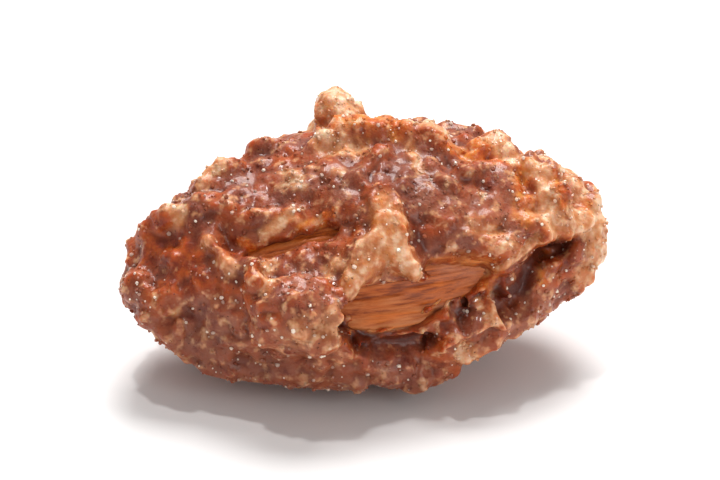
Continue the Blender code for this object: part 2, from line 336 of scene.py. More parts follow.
# The voxels and rounds of smoothing of the first melt, that takes the lumps in, and of the second,
# that evens the sugar out after it is shaped.
FIRST_MELT = (0.125 * MM, 4)
SECOND_MELT = (0.12 * MM, 2)

# Relief of the melted sugar: the size and height of its broken facets and of its round pebbles, and
# the waves that push the pebbles out of their rows, as their length and their swing in millimetres.
FACETS = [(1.9 * MM, 0.24 * MM), (0.85 * MM, 0.04 * MM)]
PEBBLES = [(1.25 * MM, 0.16 * MM), (0.50 * MM, 0.07 * MM)]
PEBBLE_WAVE = 0.9 * MM
PEBBLE_SWING = 0.35
PEBBLE_RADIUS = 0.8
PEBBLE_CREASE = 0.3
MELT_SMOOTHS = 0.7
MELT_SETTLES = 0.1 * MM

# The crust's inner wall: within these reaches of the kernel, and facing it at least this squarely.
# It is sunk into the kernel, out of sight, and loses a share of its faces.
WALL_REACH = 0.45 * MM
WALL_FACING = -0.15
FAR_WALL_REACH = 1.6 * WALL_REACH
FAR_WALL_FACING = -0.8
WALL_SINKS = 0.45 * MM
HIDDEN_DEPTH = 0.1 * MM
HIDDEN_CUT = 0.7
RESTING_HEIGHT = 0.03 * MM

# Round knobs that stuck on whole: station along the nut, degrees round it from the top towards
# the front, radius in millimetres, and how far the middle is sunk, as a share of the radius.
KNOBS = [
    (0.492, 311, 0.95, 0.95), (0.505, 318, 0.80, 0.90), (0.470, 296, 0.95, 0.10),
    (0.520, 294, 1.00, 0.00), (0.495, 286, 0.90, 0.20), (0.797, 333, 0.70, 0.55),
    (0.815, 343, 0.75, 0.35), (0.866, 358, 0.80, 0.35), (0.872, 14, 0.75, 0.35),
    (0.840, 28, 0.60, 0.45), (0.905, 326, 0.60, 0.35), (0.935, 350, 0.60, 0.35),
    (0.955, 6, 0.60, 0.35), (0.930, 26, 0.65, 0.40), (0.965, 28, 0.65, 0.35),
    (0.985, 44, 0.60, 0.40), (0.905, 16, 0.50, 0.40), (0.232, 328, 0.50, 0.35),
    (0.172, 334, 0.50, 0.35), (0.440, 332, 0.50, 0.50), (0.480, 338, 0.45, 0.50),
    (0.352, 346, 0.60, 0.60), (0.447, 354, 0.45, 0.50), (0.610, 348, 0.40, 0.50),
    (0.655, 334, 0.60, 0.60), (0.575, 330, 0.60, 0.60), (0.525, 22, 0.50, 0.60),
    (0.540, 36, 0.55, 0.60), (0.460, 40, 0.50, 0.60), (0.395, 40, 0.40, 0.50),
    (0.300, 240, 0.80, 0.40), (0.560, 236, 0.70, 0.40), (0.760, 248, 0.80, 0.40),
    (0.880, 215, 0.60, 0.40), (0.563, 46, 0.42, 0.30),
]  # fmt: skip

# Small knobs strewn over the blunt end: the same four values, each as its least and its spread.
RIM_KNOBS = 46
RIM_STATIONS = (0.80, 0.19)
RIM_DEGREES = (-45, 105)
RIM_RADII = (0.30, 0.25)
RIM_SUNK = 0.25

# How the sugar set over the nut: its kind, how strongly, its depth over the skin in millimetres
# where it isn't left as it fell, and the places it runs through: station, degrees and reach. It is
# pale where it grained, clear where it melted, amber with a painted glow where light would shine
# through, a film where the skin shows through, partly frosted bloom and partly painted sheen where
# it is hazy, and painted shade in the creases, pits and trench and on the top, low and back sides.
SUGAR = {
    "nub_top": ("pale", 1.0, None, [(0.480, 304, 1.6), (0.510, 314, 1.2)]),
    "nub_foot_left": ("painted_glow", 0.9, None, [(0.462, 318, 0.6), (0.478, 322, 0.5)]),
    "nub_foot": ("painted_glow", 0.8, 2.8, [(0.476, 328, 0.6), (0.515, 330, 0.6)]),
    "crown": ("painted_glow", 0.9, None, [(0.535, 332, 0.5), (0.595, 333, 0.6)]),
    "crown_top": ("pale", 0.6, None, [(0.560, 324, 0.5), (0.610, 328, 0.4), (0.690, 338, 0.6)]),
    "crown_front": ("pale", 0.8, None, [(0.430, 334, 0.6), (0.495, 341, 0.6)]),
    "crown_streak": ("pale", 0.75, None, [(0.610, 342, 0.4), (0.614, 357, 0.3)]),
    "top_lump": ("pale", 0.7, None, [(0.350, 343, 0.5), (0.365, 354, 0.4)]),
    "top_ring": ("pale", 0.7, None, [(0.447, 353, 0.4)]),
    "shoulder_melt": ("painted_glow", 0.9, None, [(0.690, 343, 0.4), (0.745, 344, 0.7), (0.790, 350, 0.5)]),
    "shoulder": ("pale", 0.9, None, [(0.800, 336, 0.6), (0.822, 348, 0.5)]),
    "rim_basin": ("bloom_and_sheen", 0.6, 2.2, [(0.775, 352, 0.8), (0.800, 8, 0.9)]),
    "rim_melt": ("painted_glow", 0.6, None, [(0.835, 355, 0.4), (0.825, 15, 0.6), (0.815, 26, 0.6)]),
    "rim_knobs": ("pale", 0.9, None, [(0.868, 359, 0.6), (0.873, 13, 0.7)]),
    "rim_amber": ("painted_glow", 0.9, None, [(0.898, 4, 0.3), (0.905, 22, 0.3)]),
    "rim_mass": ("pale", 0.85, None, [(0.868, 22, 0.8), (0.885, 30, 0.7)]),
    "rim_top": ("pale", 0.8, None, [(0.930, 352, 0.6), (0.955, 6, 0.6)]),
    "rim_side": ("painted_glow", 0.8, None, [(0.965, 16, 0.45)]),
    "rim_face": ("pale", 0.85, None, [(0.930, 26, 0.6), (0.962, 28, 0.6), (0.985, 42, 0.6)]),
    "rim_back": ("pale", 0.75, None, [(0.880, 328, 0.8), (0.940, 335, 0.8)]),
    "rim_front": ("pale", 0.6, None, [(0.985, 58, 0.8), (0.955, 74, 0.7)]),
    "plateau": ("bloom_and_sheen", 0.9, 1.9, [(0.620, 12, 0.9), (0.680, 18, 1.2), (0.780, 18, 1.3)]),
    "plateau_spot": ("pale", 0.8, None, [(0.735, 11, 0.25)]),
    "plateau_amber": ("painted_glow", 0.7, None, [(0.735, 30, 0.4)]),
    "plateau_edge": ("pale", 0.4, None, [(0.700, 26, 0.5), (0.770, 36, 0.6)]),
    "brow_crest": ("pale", 0.6, 1.8, [(0.840, 36, 0.3), (0.790, 45, 0.25), (0.745, 52, 0.2)]),
    "tongue": ("pale", 0.6, 2.3, [
        (0.525, 12, 0.7), (0.520, 28, 0.9), (0.530, 38, 0.8), (0.556, 43, 0.5),
    ]),
    "tongue_grains": ("pale", 0.9, None, [(0.530, 22, 0.3), (0.537, 38, 0.4), (0.575, 46, 0.3)]),
    "tongue_amber": ("painted_glow", 0.7, None, [(0.513, 13, 0.4), (0.495, 22, 0.3)]),
    "tongue_glow": ("painted_glow", 0.45, None, [(0.530, 20, 0.8), (0.500, 34, 0.9), (0.430, 44, 0.6)]),
    "tongue_shade": ("painted_shade", 0.7, None, [(0.574, 22, 0.3), (0.584, 35, 0.4)]),
    "fork": ("pale", 0.5, 2.1, [(0.510, 28, 1.0), (0.450, 40, 1.0), (0.435, 47, 0.6)]),
    "fork_tip": ("pale", 0.85, None, [(0.392, 40, 0.35), (0.412, 36, 0.3)]),
    "streak_bank": ("bloom_and_sheen", 0.5, 0.9, [(0.200, 12, 0.7), (0.300, 20, 1.1), (0.430, 20, 0.8)]),
    "streaks": ("clear", 1.0, 0.6, [(0.190, 14, 0.4), (0.280, 24, 0.6), (0.410, 20, 0.5)]),
    "streak_dark": ("painted_shade", 0.8, None, [(0.290, 19, 0.15), (0.400, 22, 0.2)]),
    "streak_amber": ("painted_glow", 0.9, None, [(0.350, 14, 0.25), (0.420, 12, 0.25)]),
    "streak_sliver": ("painted_glow", 1.0, None, [(0.230, 13, 0.2), (0.270, 26, 0.2), (0.320, 25, 0.15)]),
    "streak_flake": ("pale", 0.85, 1.2, [(0.285, 12, 0.5), (0.325, 9, 0.45)]),
    "streak_claw": ("pale", 0.6, None, [(0.158, 12, 0.35)]),
    "second_claw": ("pale", 0.55, None, [(0.188, 28, 0.45), (0.192, 35, 0.4)]),
    "front_claw": ("pale", 0.65, None, [(0.275, 33, 0.45), (0.252, 43, 0.4)]),
    "front_swell": ("pale", 0.42, None, [(0.310, 62, 0.8), (0.390, 62, 0.8)]),
    "swell_grain": ("pale", 0.8, None, [(0.372, 54, 0.25)]),
    "left_lump": ("pale", 0.8, None, [(0.122, 350, 0.35), (0.097, 342, 0.3)]),
    "left_knobs": ("pale", 0.65, None, [(0.175, 334, 0.45), (0.230, 328, 0.45)]),
    "keel_grains": ("pale", 1.0, None, [(0.085, 66, 0.3)]),
    "slab_edge": ("pale", 0.7, None, [(0.655, 92, 0.4), (0.700, 96, 0.3)]),
    "slab_ridge": ("pale", 0.45, None, [(0.720, 74, 0.4), (0.740, 66, 0.3)]),
    "pit_grain": ("pale", 0.9, None, [(0.700, 69, 0.2)]),
    "back_crest": ("pale", 0.7, None, [(0.300, 245, 0.8), (0.380, 232, 0.9), (0.520, 238, 0.7)]),
    "back_knobs": ("pale", 0.8, None, [(0.740, 250, 0.9), (0.800, 225, 0.7)]),
    "belly_grains": ("pale", 0.6, None, [(0.350, 190, 0.8), (0.450, 200, 0.6)]),
    "left_face": ("clear", 1.0, None, [(0.060, 350, 0.7), (0.110, 10, 1.0), (0.120, 35, 0.8)]),
    "back_melt": ("clear", 0.6, None, [(0.250, 280, 1.0), (0.330, 270, 0.9), (0.560, 262, 1.0)]),
    "under_melt": ("clear", 0.6, None, [(0.600, 205, 1.2), (0.750, 195, 1.0)]),
    "window_film": ("film", 1.0, 0.12, [(0.612, 46, 0.55), (0.670, 48, 1.0), (0.730, 54, 0.6)]),
    "window_bank": ("clear", 1.0, 0.6, [(0.690, 66, 0.3), (0.760, 60, 0.5)]),
    "window_sill": ("film", 1.0, 0.12, [
        (0.425, 72, 0.2), (0.486, 79, 0.35), (0.540, 78, 0.35), (0.600, 71, 0.25), (0.640, 66, 0.2),
    ]),
    "slab": ("bloom_and_sheen", 0.7, 1.6, [(0.630, 86, 0.3), (0.672, 87, 0.6), (0.720, 82, 0.5)]),
    "bank_glow": ("painted_glow", 0.6, None, [(0.680, 62, 0.2), (0.740, 58, 0.25)]),
    "top_haze": ("bloom_and_sheen", 0.8, None, [(0.360, 345, 1.3), (0.447, 2, 0.9)]),
    "crown_haze": ("bloom_and_sheen", 0.8, None, [(0.640, 0, 1.0), (0.710, 2, 1.1)]),
    "front_haze": ("bloom_and_sheen", 0.9, None, [(0.150, 60, 0.9), (0.250, 80, 1.6), (0.390, 90, 1.5)]),
    "middle_haze": ("bloom_and_sheen", 0.9, None, [(0.330, 44, 0.9), (0.400, 60, 0.6)]),
    "low_haze": ("bloom_and_sheen", 0.9, None, [(0.100, 85, 1.5), (0.300, 110, 1.8), (0.600, 110, 1.5)]),
    "lip_haze": ("bloom_and_sheen", 0.8, None, [(0.640, 86, 0.6), (0.730, 92, 0.8), (0.860, 90, 0.9)]),
    "back_haze": ("bloom_and_sheen", 0.8, None, [(0.250, 300, 1.8), (0.600, 292, 2.0), (0.880, 290, 1.6)]),
    "low_back_haze": ("bloom_and_sheen", 0.8, None, [
        (0.200, 245, 1.6), (0.480, 225, 2.0), (0.800, 215, 1.6),
    ]),
    "under_haze": ("bloom_and_sheen", 0.8, None, [(0.250, 160, 1.8), (0.500, 160, 1.8), (0.850, 180, 1.6)]),
    # The trench, pits, gap and corner below carry painted shade, where these recesses lie in
    # shadow.
    "trench": ("painted_shade", 1.0, 0.5, [
        (0.748, 68, 0.35), (0.770, 76, 0.4), (0.806, 71, 0.55), (0.829, 57, 0.55),
        (0.858, 48, 0.5), (0.900, 43, 0.35),
    ]),
    "trench_glow": ("painted_glow", 0.7, None, [(0.846, 62, 0.25), (0.850, 70, 0.25)]),
    "trench_end": ("painted_glow", 0.7, None, [(0.912, 40, 0.3)]),
    "small_pit": ("painted_shade", 1.0, 0.6, [(0.660, 75, 0.3), (0.682, 71, 0.2)]),
    "gap": ("painted_shade", 1.0, 0.25, [
        (0.435, 80, 0.25), (0.486, 85, 0.45), (0.548, 87, 0.5), (0.595, 84, 0.35),
    ]),
    "window_corner": ("painted_shade", 0.8, 0.5, [(0.405, 70, 0.2), (0.425, 76, 0.2)]),
    "top_shade": ("painted_shade", 0.28, None, [(0.300, 350, 1.5), (0.450, 0, 1.2), (0.700, 5, 1.5)]),
    "low_shade": ("painted_shade", 0.3, None, [(0.100, 90, 1.8), (0.300, 110, 2.2), (0.600, 112, 1.6)]),
    "back_shade": ("painted_shade", 0.25, None, [(0.250, 285, 2.0), (0.550, 275, 2.2), (0.850, 285, 1.8)]),
    "back_fringe": ("clear", 0.8, 1.1, [(0.345, 265, 0.35), (0.395, 267, 0.5), (0.445, 271, 0.25)]),
    "back_drip": ("clear", 0.8, 0.8, [(0.490, 254, 0.35), (0.525, 261, 0.4)]),
    "back_fleck": ("clear", 0.8, 0.9, [(0.668, 284, 0.3), (0.680, 290, 0.3)]),
    "back_crease": ("painted_shade", 0.6, 1.2, [
        (0.590, 262, 0.5), (0.640, 268, 0.6), (0.700, 252, 0.5), (0.780, 262, 0.4),
    ]),
}  # fmt: skip
LEVEL_HOLD = 0.92
LEVEL_FRAY = 0.4

# Sugar that ran over the bare skin, and the thin beads that it is built of: it closes the crust's
# openings in these places, and leaves the large window open.
RAN_OVER = (
    "trench", "small_pit", "gap", "window_corner", "slab", "back_crease", "back_fringe",
    "back_drip", "back_fleck",
)  # fmt: skip
RUN_STATIONS = (0.33, 0.95)
RUN_STATION_STEP = 0.014
RUN_TURN_STEP = 3.5
RUN_RADIUS = 0.42 * MM
RUN_SUNK = 0.30 * MM


def surface_tree(mesh):
    """A mesh's surface, for finding the nearest place on it or what a ray hits."""
    places = [vertex.co.copy() for vertex in mesh.vertices]
    return BVHTree.FromPolygons(places, [tuple(face.vertices) for face in mesh.polygons])


cad_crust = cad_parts["sugar_crust"].data
kernel_tree = surface_tree(cad_kernel)


def above_kernel(places):
    """Each place's distance from the kernel, and the nearest place and direction of its skin."""
    found = [kernel_tree.find_nearest(Vector(place)) for place in places]
    gap = np.array([hit[3] for hit in found])
    skin_places = np.array([hit[0] for hit in found])
    skin_normals = np.array([hit[1] for hit in found])
    return gap, skin_places, skin_normals


def stations(places):
    """Each place's station along the nut, and its angle round it from the top."""
    local = (places - np.array(nut_middle)) @ np.array(roll)
    station = np.clip(local[:, 0] / SUGAR_LENGTH + 0.5, 0.001, 0.999)
    height = local[:, 2] + droop(station)
    return station, np.arctan2(-local[:, 1] / SUGAR_WIDTH, height / SUGAR_THICKNESS)


def ragged(places, broad, narrow):
    """Noise that frays the edges of the patches."""
    wander = [
        noise.noise(Vector(place) / broad) + 0.6 * noise.noise(Vector(place) / narrow)
        for place in places
    ]
    return np.array(wander)


def scatter(mesh, count, draw, reach):
    """Places spread evenly over the outside of the crust, with their directions and corners."""
    mesh.calc_loop_triangles()
    corners = np.array([triangle.vertices for triangle in mesh.loop_triangles])
    a, b, c = (mesh_points(mesh)[corners[:, i]] for i in range(3))
    normals = np.cross(b - a, c - a)
    areas = np.linalg.norm(normals, axis=1)
    normals /= areas[:, None] + 1e-15
    gap, _, _ = above_kernel((a + b + c) / 3)
    steps = np.cumsum(areas * (gap > reach))
    chosen = np.searchsorted(steps, draw.random(count) * steps[-1])
    u, v = draw.random((2, count))
    flip = u + v > 1
    u[flip], v[flip] = 1 - u[flip], 1 - v[flip]
    u, v = u[:, None], v[:, None]
    places = a[chosen] * (1 - u - v) + b[chosen] * u + c[chosen] * v
    return places, normals[chosen], corners[chosen, 0]


def any_turns(count, draw):
    """Rotation matrices that turn things every way alike."""
    q = draw.normal(size=(count, 4))
    q /= np.linalg.norm(q, axis=1, keepdims=True)
    w, x, y, z = q.T
    rows = [
        [1 - 2 * (y * y + z * z), 2 * (x * y - w * z), 2 * (x * z + w * y)],
        [2 * (x * y + w * z), 1 - 2 * (x * x + z * z), 2 * (y * z - w * x)],
        [2 * (x * z - w * y), 2 * (y * z + w * x), 1 - 2 * (x * x + y * y)],
    ]
    return np.array(rows).transpose(2, 0, 1)


def strewn(name, shape_points, shape_faces, places, sizes, turns):
    """One mesh of many like shapes, each with its own size along three axes, turn and place."""
    points = shape_points[None] * sizes[:, None, :]
    points = np.einsum("nij,nkj->nki", turns, points) + places[:, None, :]
    step = np.arange(len(places))[:, None, None] * len(shape_points)
    faces = (shape_faces[None] + step).reshape(-1, shape_faces.shape[1])
    mesh = bpy.data.meshes.new(name)
    mesh.from_pydata(points.reshape(-1, 3).tolist(), [], faces.tolist())
    return mesh


def ball_shape(subdivisions):
    bpy.ops.mesh.primitive_ico_sphere_add(subdivisions=subdivisions, radius=1)
    ball = bpy.context.object
    points = mesh_points(ball.data)
    faces = np.array([face.vertices[:] for face in ball.data.polygons])
    bpy.data.objects.remove(ball)
    return points, faces


def add_to_scene(name, data):
    made = bpy.data.objects.new(name, data)
    bpy.context.scene.collection.objects.link(made)
    return made


def apply_all(obj):
    """Applies an object's modifiers to its mesh."""
    bpy.context.view_layer.update()
    result = obj.evaluated_get(bpy.context.evaluated_depsgraph_get())
    mesh = bpy.data.meshes.new_from_object(result)
    obj.modifiers.clear()
    obj.data = mesh


def melt(obj, voxel, rounds):
    """Runs everything in a mesh together into one skin, and softens it."""
    remesh = obj.modifiers.new("melt", "REMESH")
    remesh.mode = "VOXEL"
    remesh.voxel_size = voxel
    soften = obj.modifiers.new("soften", "SMOOTH")
    soften.factor = 0.5
    soften.iterations = rounds
    apply_all(obj)


def thin_out(obj, ratio, group=""):
    """Takes faces away where they matter least."""
    decimate = obj.modifiers.new("thin_out", "DECIMATE")
    decimate.vertex_group = group
    decimate.ratio = ratio
    apply_all(obj)


draw = np.random.default_rng(7)
places, normals, _ = scatter(cad_crust, CRUMBS, draw, CRUMB_REACH)
low, high = CRUMB_RADIUS
radii = low + (high - low) * draw.random(CRUMBS) ** 1.6
ball_points, ball_faces = ball_shape(1)
sizes = radii[:, None] * (0.7 + 0.5 * draw.random((CRUMBS, 3)))
crumb_places = places - normals * (radii * CRUMB_SUNK)[:, None]
crumbs = strewn("crumbs", ball_points, ball_faces, crumb_places, sizes, any_turns(CRUMBS, draw))

knob_list = list(KNOBS)
for shares in draw.random((RIM_KNOBS, 3)):
    spreads = zip((RIM_STATIONS, RIM_DEGREES, RIM_RADII), shares)
    knob_list.append((*(least + spread * share for (least, spread), share in spreads), RIM_SUNK))
knob_places = []
crust_tree = surface_tree(cad_crust)
for at, degrees, radius, sunk in knob_list:
    start = kernel_place(at, math.radians(degrees), sunk=-8 * MM)
    way = (kernel_place(at, math.radians(degrees)) - start).normalized()
    knob_places.append(crust_tree.ray_cast(start, way)[0] + way * radius * MM * sunk)
radii = np.array([knob[2] for knob in knob_list]) * MM
sizes = radii[:, None] * (0.85 + 0.3 * draw.random((len(radii), 3)))
round_points, round_faces = ball_shape(3)
turns = any_turns(len(radii), draw)
knobs = strewn("knobs", round_points, round_faces, np.array(knob_places), sizes, turns)

run_stations, run_turns = np.meshgrid(
    np.arange(*RUN_STATIONS, RUN_STATION_STEP), np.radians(np.arange(0, 360, RUN_TURN_STEP))
)
run_stations, run_turns = run_stations.ravel(), run_turns.ravel()
covered = [patch(run_stations, run_turns, 0.0, SUGAR[name][3], SUGAR_SIZE) for name in RAN_OVER]
run_places = [
    kernel_place(at, turn, sunk=RUN_SUNK - RUN_RADIUS)
    for at, turn, share in zip(run_stations, run_turns, np.max(covered, axis=0))
    if share > 0.5
]
sizes = np.full((len(run_places), 3), RUN_RADIUS)
turns = any_turns(len(run_places), draw)
runs = strewn("runs", ball_points, ball_faces, np.array(run_places), sizes, turns)

crust = add_to_scene("melted_sugar", cad_crust.copy())
lumps = [add_to_scene(mesh.name, mesh) for mesh in (crumbs, knobs, runs)]
with bpy.context.temp_override(
    active_object=crust, object=crust, selected_editable_objects=[crust, *lumps]
):
    bpy.ops.object.join()
melt(crust, *FIRST_MELT)


# Noise vectors would start from the clock, so they are given a fixed start here.
noise.seed_set(11)


def facet_rise(place):
    """The height of broken, half melted facets of sugar at two sizes."""
    rise = 0.0
    for number, (size, height) in enumerate(FACETS):
        cell = Vector(place) / size + Vector((7.3 * number, 0, 0))
        seed = noise.voronoi(cell)[1][0]
        lean = noise.cell_vector(seed * 1.0) - Vector((0.5, 0.5, 0.5))
        rise += height * lean.dot(cell - seed)
    return rise


def pebble_rise(place):
    """The height of round grains of sugar that melted together, at two sizes."""
    rise = 0.0
    bend = noise.noise_vector(Vector(place) / PEBBLE_WAVE) * PEBBLE_SWING * MM
    bent = Vector(place) + bend
    for number, (size, height) in enumerate(PEBBLES):
        near, next_near = noise.voronoi(bent / size + Vector((0, 3.1 * number, 0)))[0][:2]
        dome = max(0.0, 1 - (near / PEBBLE_RADIUS) ** 2)
        rise += height * dome * min(1.0, (next_near - near) / PEBBLE_CREASE)
    return rise


def kind_share(kind, station, around, wander):
    """How far the sugar at each place is of one kind, from 0 to 1."""
    found = np.zeros(len(station))
    for at_kind, strength, _, path in SUGAR.values():
        if at_kind == kind:
            reached = strength * patch(station, around, wander, path, SUGAR_SIZE)
            found = np.maximum(found, reached)
    return found


def edge_ends(mesh):
    """The two vertices of each edge of a mesh, one row each."""
    ends = np.zeros(len(mesh.edges) * 2, int)
    mesh.edges.foreach_get("vertices", ends)
    return ends.reshape(-1, 2)


def keep_largest(mesh):
    """Takes away crumbs that hang free of the largest connected part of a mesh."""
    ends = edge_ends(mesh)
    part = np.arange(len(mesh.vertices))
    while (part[ends[:, 0]] != part[ends[:, 1]]).any():
        lowest = part[ends].min(1)
        for side in (0, 1):
            np.minimum.at(part, ends[:, side], lowest)
        part = part[part]
    largest = np.bincount(part).argmax()
    whole = bmesh.new()
    whole.from_mesh(mesh)
    loose = [vertex for vertex, its_part in zip(whole.verts, part) if its_part != largest]
    bmesh.ops.delete(whole, geom=loose, context="VERTS")
    whole.to_mesh(mesh)
    whole.free()


places = mesh_points(crust.data)
normals = mesh_normals(crust.data)
gap, skin_places, skin_normals = above_kernel(places)
station, around = stations(places)
wander = ragged(places, 1.3 * MM, 0.45 * MM)
facing = (normals * skin_normals).sum(1)
near_wall = (gap < WALL_REACH) & (facing < WALL_FACING)
far_wall = (gap < FAR_WALL_REACH) & (facing < FAR_WALL_FACING)
inside = near_wall | far_wall
left_alone = inside | (places[:, 2] < RESTING_HEIGHT)
smooth_kinds = [kind_share(kind, station, around, wander) for kind in ("clear", "painted_shade", "film")]
melted = np.max(smooth_kinds, axis=0)
rise = np.array([facet_rise(place) for place in places])
rise[left_alone] = 0
places += normals * rise[:, None]
gap, skin_places, skin_normals = above_kernel(places)
depth = gap.copy()
for _, _, level, path in SUGAR.values():
    if level:
        reached = patch(station, around, LEVEL_FRAY * wander, path, SUGAR_SIZE)
        depth += LEVEL_HOLD * reached * (level * MM - depth)
depth[left_alone] = gap[left_alone]
places = skin_places + (places - skin_places) * (depth / (gap + 1e-9))[:, None]
grain = np.array([pebble_rise(place) for place in places]) * (1 - MELT_SMOOTHS * melted)
grain[left_alone] = 0
places += normals * (grain - MELT_SETTLES)[:, None]
places[inside] = (skin_places - skin_normals * WALL_SINKS)[inside]
box_low, box_high = (np.array(corner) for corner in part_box("sugar_crust"))
set_points(crust.data, np.clip(places, box_low, box_high))
melt(crust, *SECOND_MELT)
keep_largest(crust.data)
places = mesh_points(crust.data)
_, skin_places, skin_normals = above_kernel(places)
sunk = ((places - skin_places) * skin_normals).sum(1) < -HIDDEN_DEPTH
hidden = crust.vertex_groups.new(name="hidden_wall")
hidden.add(np.flatnonzero(sunk).tolist(), 1.0, "REPLACE")
thin_out(crust, 1 - HIDDEN_CUT * sunk.mean(), hidden.name)
triangles = sum(len(face.vertices) - 2 for face in crust.data.polygons)
thin_out(crust, min(1.0, CRUST_TRIANGLES / triangles))
set_points(crust.data, np.clip(mesh_points(crust.data), box_low, box_high))
crust.data.shade_smooth()


# How far the sugar stands proud of itself smoothed: the rounds of smoothing, and the height that
# counts as one.
CRESTS = {"fine_crest": (8, 0.1 * MM), "broad_crest": (80, 0.7 * MM)}

# The sugar's colours, each by the place or state that it has them in. The crease and shade colours
# are painted shade, the glow colours a painted glow, and the pale crest and tip colours carry
# painted light.
RED_SUGAR, HAZY_SUGAR, DEEP_SUGAR = srgb(172, 78, 28), srgb(142, 76, 52), srgb(114, 38, 14)
DARK_MELT, BRIGHT_MELT = srgb(132, 46, 12), srgb(184, 84, 26)
BLOOM_AND_SHEEN_SUGAR = srgb(160, 92, 64)
DARK_GLOW, BRIGHT_GLOW = srgb(206, 98, 22), srgb(236, 156, 70)
DARK_FILM, BRIGHT_FILM = srgb(164, 76, 30), srgb(212, 132, 72)
CREASE_SHADE_COLOUR = srgb(96, 30, 8)
PALE_SUGAR, PALE_CREST_AND_LIGHT, PALE_TIP_AND_HIGHLIGHT = srgb(212, 138, 84), srgb(212, 152, 108), srgb(232, 196, 162)
SUGAR_SHADE_COLOUR = srgb(84, 26, 10)
CINNAMON = srgb(64, 22, 12)
FROSTED_GRAIN_AND_GLINT = srgb(255, 240, 220)

# How large its spots are: patches, mottle, blobs, grit, the film's lines and bits of cinnamon.
PATCH_SIZE = 2.2 * MM
MOTTLE_SIZE = 0.8 * MM
BLOB_SIZE = 0.55 * MM
GRIT_SIZE = 0.24 * MM
GRIT_HEIGHT = 0.08 * MM
LINE_SIZE = 0.3 * MM
CINNAMON_SIZE = 0.2 * MM


def smoothed(mesh, places, rounds):
    """The places after each vertex moved to the middle of its neighbours, rounds times."""
    ends = edge_ends(mesh)
    both = np.concatenate([ends, ends[:, ::-1]])
    count = np.bincount(both[:, 0], minlength=len(places))[:, None].clip(1)
    for _ in range(rounds):
        total = [np.bincount(both[:, 0], places[both[:, 1], i], len(places)) for i in range(3)]
        places = 0.5 * places + 0.5 * np.array(total).T / count
    return places


places = mesh_points(crust.data)
normals = mesh_normals(crust.data)
station, around = stations(places)
wander = ragged(places, 1.1 * MM, 0.35 * MM)
shares = {}
for name, (rounds, height) in CRESTS.items():
    proud = ((places - smoothed(crust.data, places, rounds)) * normals).sum(1)
    shares[name] = 0.5 + proud / height
for kind in ("pale", "clear", "film", "painted_glow", "bloom_and_sheen", "painted_shade"):
    shares[kind] = kind_share(kind, station, around, wander)
shares["frost_and_glint"] = np.zeros(len(places))
for name, values in shares.items():
    set_shares(crust.data, name, values)


def sugar_finish(name, see_in, gloss):
    """Boiled sugar: its colour by kind, crest and mottle, with painted shade in the hollows and
    painted light on the crests. see_in is how far light goes into it, and gloss how much of a clear
    coat lies over it."""
    sugar, shader, wire, place = new_material(name)
    fine_crest = wire.share("fine_crest")
    broad_crest = wire.share("broad_crest")
    clear, film, pale = wire.share("clear"), wire.share("film"), wire.share("pale")
    patches = place.speckled(PATCH_SIZE, detail=3)
    mottle = place.speckled(MOTTLE_SIZE, detail=4, roughness=0.6)
    blob = place.speckled(BLOB_SIZE)
    grit = place.speckled(GRIT_SIZE)
    lines = place.lengthwise().speckled(LINE_SIZE, detail=3, roughness=0.6)
    body = patches.between(0.38, 0.62).blend(RED_SUGAR, HAZY_SUGAR)
    body = mottle.between(0.22, 0.56).blend(DEEP_SUGAR, body)
    body = clear.blend(body, mottle.between(0.35, 0.65).blend(DARK_MELT, BRIGHT_MELT))
    # grey-pink haze: partly frosted sugar bloom, partly a painted sheen of the white surroundings
    bloom_and_sheen_mask = wire.share("bloom_and_sheen") * (mottle * 1.6).between(0.4, 1.0)
    body = bloom_and_sheen_mask.blend(body, BLOOM_AND_SHEEN_SUGAR)
    # painted glow: amber sugar brightened to orange where light would shine through it
    painted_glow = wire.share("painted_glow") * (0.2 + mottle * 1.6).between(0.5, 1.0)
    body = painted_glow.blend(body, mottle.between(0.4, 0.7).blend(DARK_GLOW, BRIGHT_GLOW))
    body = film.blend(body, lines.between(0.4, 0.62).blend(DARK_FILM, BRIGHT_FILM))
    # painted shade: darker red-brown in the hollows between the crests, less where the sugar is
    # pale or glows
    crease_shade = 1 - (fine_crest * 0.4 + broad_crest * 0.7 - 0.2).between(0.0, 0.35)
    body = (crease_shade * (0.45 - painted_glow * 0.4) * (1 - pale * 0.9)).blend(body, CREASE_SHADE_COLOUR)
    # paler where the sugar grained, with painted light on the crests and on the tops of the grit
    grain_and_crest_light = blob + (broad_crest - 0.5) * 0.2 + (fine_crest - 0.5) * 0.06 + (grit - 0.5) * 0.12
    grain_and_crest_light = grain_and_crest_light + pale * 0.27 + bloom_and_sheen_mask * 0.03 - (film + clear) * 0.1
    body = (pale * 0.9).blend(body, PALE_SUGAR)
    body = (grain_and_crest_light.between(0.54, 0.76) * 0.85).blend(body, PALE_CREST_AND_LIGHT)
    body = (grain_and_crest_light.between(0.7, 0.92) * 0.85).blend(body, PALE_TIP_AND_HIGHLIGHT)
    # painted shade: darker sugar in the creases, pits, trench and gap, and on the top, low and back
    # sides
    body = (wire.share("painted_shade") * 0.9).blend(body, SUGAR_SHADE_COLOUR)
    bits = place.speckled(CINNAMON_SIZE, detail=1).between(0.73, 0.78)
    body = (bits * 0.8).blend(body, CINNAMON)
    # frosted grains near white, partly standing in for painted glints
    feed(shader, "Base Color", wire.share("frost_and_glint").blend(body, FROSTED_GRAIN_AND_GLINT))
    feed(shader, "Roughness", 0.5)
    feed(shader, "Specular IOR Level", 0.2)
    feed(shader, "Subsurface Weight", see_in)
    feed(shader, "Subsurface Radius", (1.0, 0.45, 0.25))
    feed(shader, "Subsurface Scale", 0.6 * MM)
    feed(shader, "Normal", wire.bump(grit, GRIT_HEIGHT))
    feed(shader, "Coat Weight", gloss)
    feed(shader, "Coat Roughness", 0.15)
    return sugar


